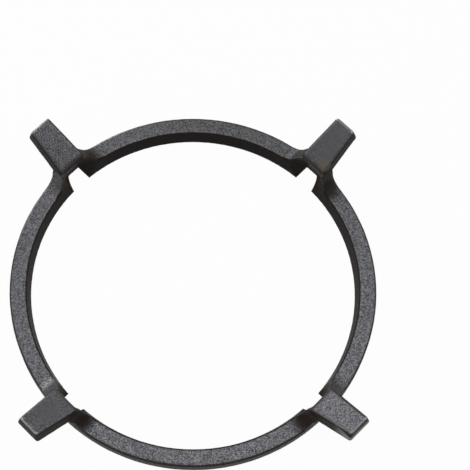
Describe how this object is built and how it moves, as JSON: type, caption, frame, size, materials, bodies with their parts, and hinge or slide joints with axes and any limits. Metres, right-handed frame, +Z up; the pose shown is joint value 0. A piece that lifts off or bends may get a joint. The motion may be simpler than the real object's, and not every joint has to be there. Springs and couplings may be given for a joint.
{
  "type": "wok ring",
  "caption": "Cast-iron ring with claws rising outwards that sits on the pan support of a gas hob and steadies a round-bottomed wok over the burner.",
  "frame": {"origin": "centre of the ring, on the plane of its flat underside", "axes": "+Z up along the ring's axis; the claws stand on +X, +Y, -X and -Y"},
  "size_m": [0.2536, 0.2536, 0.0353],
  "materials": {
    "cast_iron": "matt grey-black cast iron with a fine sand-cast grain, a little lighter where the top faces are rubbed"
  },
  "bodies": {
    "root": {"wok_ring": "cast_iron"}
  },
  "joints": []
}
